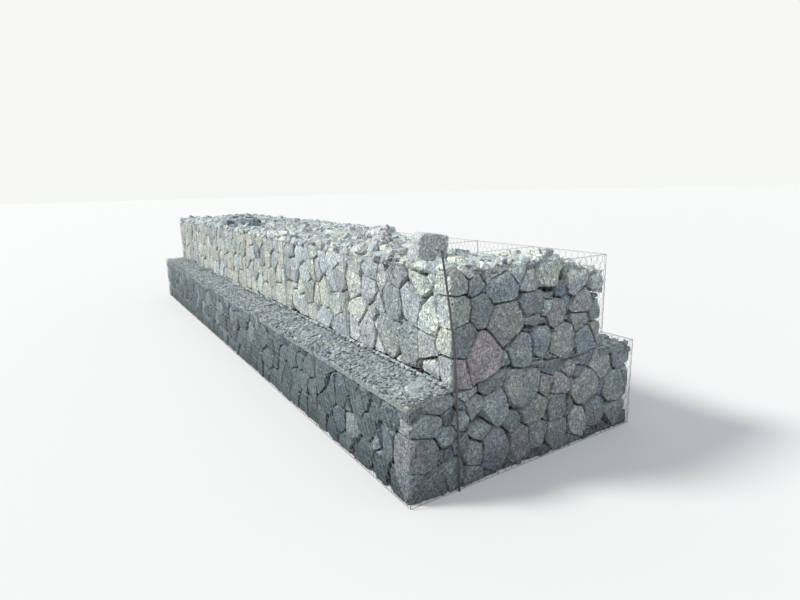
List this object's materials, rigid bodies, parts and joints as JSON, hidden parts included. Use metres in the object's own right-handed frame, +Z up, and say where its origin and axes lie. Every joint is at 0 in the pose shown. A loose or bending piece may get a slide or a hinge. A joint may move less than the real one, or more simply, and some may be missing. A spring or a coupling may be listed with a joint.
{
  "type": "gabion wall",
  "caption": "Two-course retaining wall of wire cages packed with broken granite, with a bench along the foot of the upper course.",
  "frame": {"origin": "middle of the underside of the whole wall, on the ground", "axes": "+X along the wall to the seen end, +Y from the front with the bench to the back, +Z up"},
  "size_m": [12.02, 3, 2.3],
  "materials": {
    "granite": "broken grey granite, rough and speckled",
    "galvanised_wire": "dull galvanised wire",
    "rusty_steel": "dark weathered steel bar"
  },
  "bodies": {
    "root": {"base_fill_1": "granite", "base_fill_2": "granite", "base_fill_3": "granite", "base_fill_4": "granite", "base_fill_5": "granite", "base_fill_6": "granite", "base_cage_1": "galvanised_wire", "base_cage_2": "galvanised_wire", "base_cage_3": "galvanised_wire", "base_cage_4": "galvanised_wire", "base_cage_5": "galvanised_wire", "base_cage_6": "galvanised_wire", "base_lid_1": "galvanised_wire", "base_lid_2": "galvanised_wire", "base_lid_3": "galvanised_wire", "base_lid_4": "galvanised_wire", "base_lid_5": "galvanised_wire", "base_lid_6": "galvanised_wire", "upper_fill_1": "granite", "upper_fill_2": "granite", "upper_fill_3": "granite", "upper_fill_4": "granite", "upper_fill_5": "granite", "upper_fill_6": "granite", "upper_cage_1": "galvanised_wire", "upper_cage_2": "galvanised_wire", "upper_cage_3": "galvanised_wire", "upper_cage_4": "galvanised_wire", "upper_cage_5": "galvanised_wire", "upper_cage_6": "galvanised_wire", "back_mesh_1": "galvanised_wire", "back_mesh_2": "galvanised_wire", "corner_block": "granite", "pale_heap": "granite", "dark_heap": "granite", "guide_bar": "rusty_steel"}
  },
  "joints": []
}
